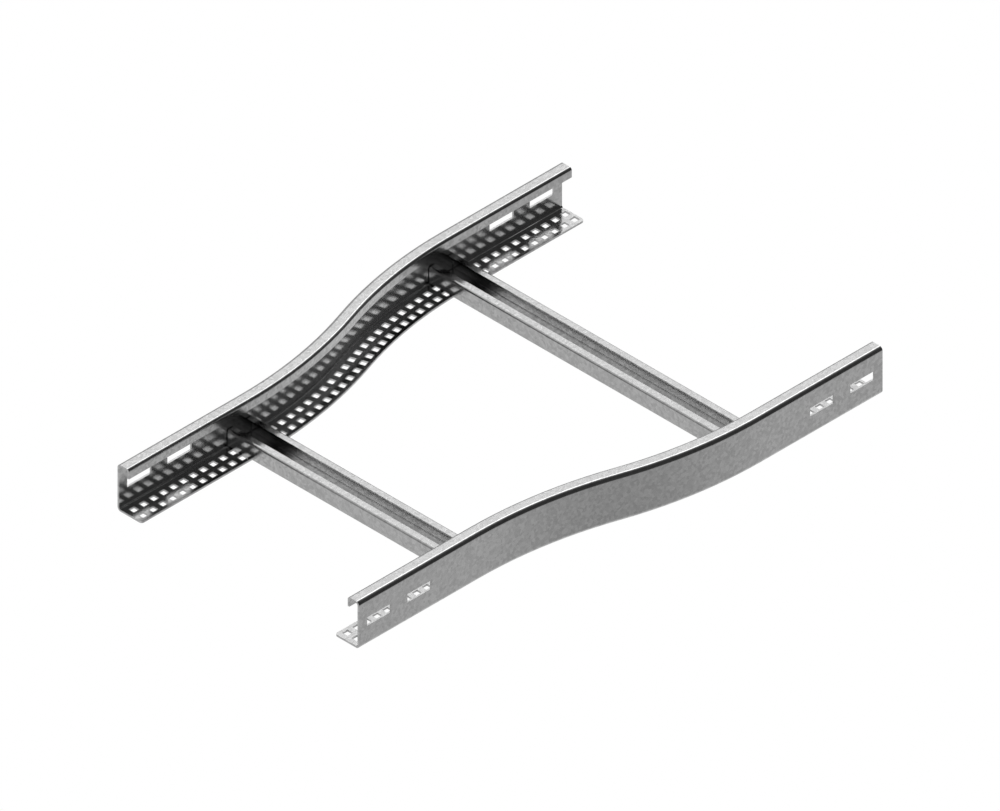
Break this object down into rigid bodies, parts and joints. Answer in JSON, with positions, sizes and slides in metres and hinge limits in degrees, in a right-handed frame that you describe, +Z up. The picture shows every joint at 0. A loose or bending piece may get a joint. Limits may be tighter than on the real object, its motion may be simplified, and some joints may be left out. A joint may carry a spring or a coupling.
{
  "type": "cable ladder reducer",
  "caption": "Cable ladder reducer with folded, perforated side rails that widen in an S curve and lipped channel rungs, joining a narrow cable ladder to a wider one.",
  "frame": {"origin": "middle of the ladder's box on the underside of the bottom flanges: mid-width, mid-length, z = 0", "axes": "+Y along the ladder from the narrow end to the wide end, +X across it, +Z up"},
  "size_m": [0.4, 0.6, 0.05],
  "materials": {
    "rail_steel": "galvanised sheet, fine spangle, semi-gloss",
    "rung_steel": "galvanised sheet, fine spangle, semi-gloss"
  },
  "bodies": {
    "root": {"side_rail_right": "rail_steel", "side_rail_left": "rail_steel", "rung_narrow_end": "rung_steel", "rung_wide_end": "rung_steel"}
  },
  "joints": []
}
